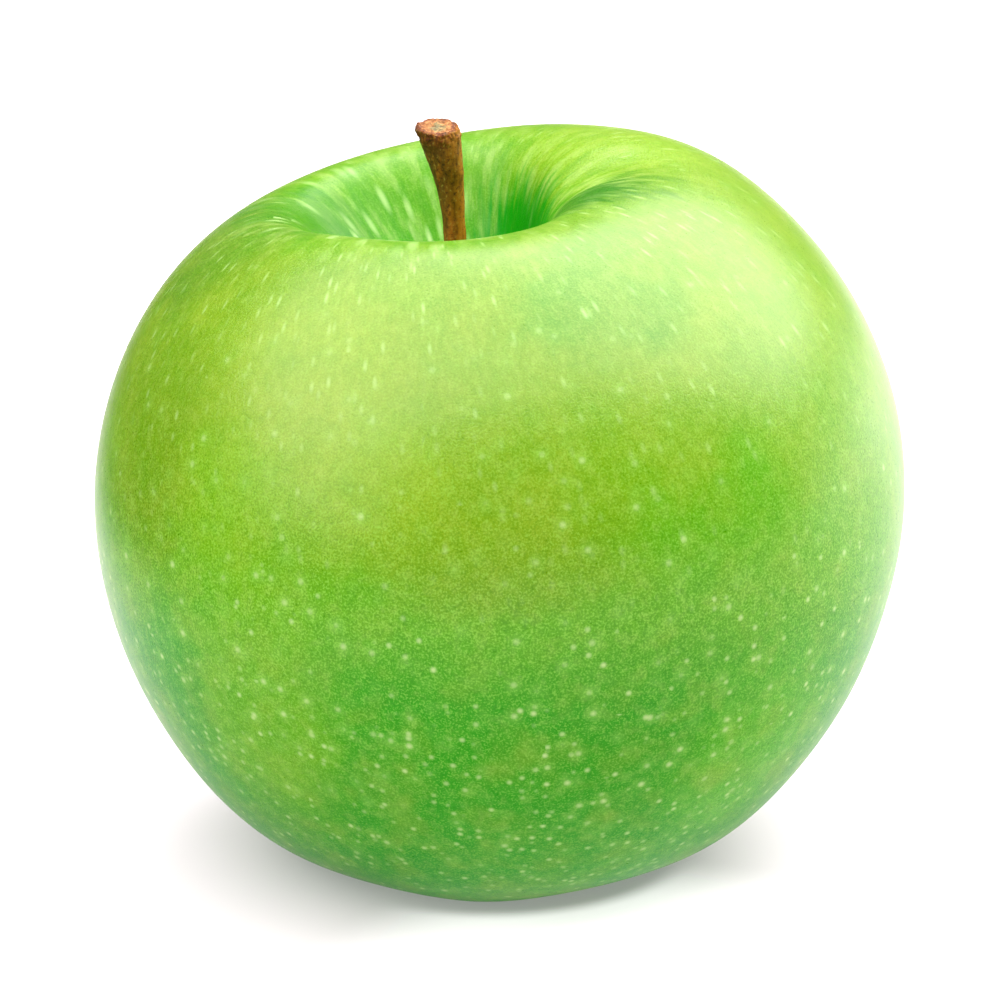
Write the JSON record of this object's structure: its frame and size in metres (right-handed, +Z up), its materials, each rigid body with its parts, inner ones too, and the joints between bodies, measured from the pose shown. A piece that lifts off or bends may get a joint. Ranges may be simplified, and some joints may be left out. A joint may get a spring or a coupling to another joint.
{
  "type": "green apple",
  "caption": "Green apple with a waxy, pale-dotted skin, a deep leaning stem cavity, a short woody stem torn off at its flared head, and a dried calyx in the basin it stands around.",
  "frame": {"origin": "under the middle of the whole apple's box, on the plane it rests on", "axes": "+Z up through the stem end, -Y towards the side seen first, +X to its right, where the shoulder is higher"},
  "size_m": [0.08, 0.0804, 0.0739],
  "materials": {
    "skin": "waxy satin apple skin, bright green and finely mottled, with pale cream lenticel dots that lengthen into streaks in the stem cavity",
    "stem_bark": "dry olive to orange brown bark, rough, with a pale torn end",
    "dried_calyx": "dried, curled, downy grey brown sepals",
    "dried_stamens": "dry dark brown threads"
  },
  "bodies": {
    "root": {"fruit": "skin", "stem": "stem_bark", "calyx_sepals": "dried_calyx", "calyx_stamens": "dried_stamens"}
  },
  "joints": []
}
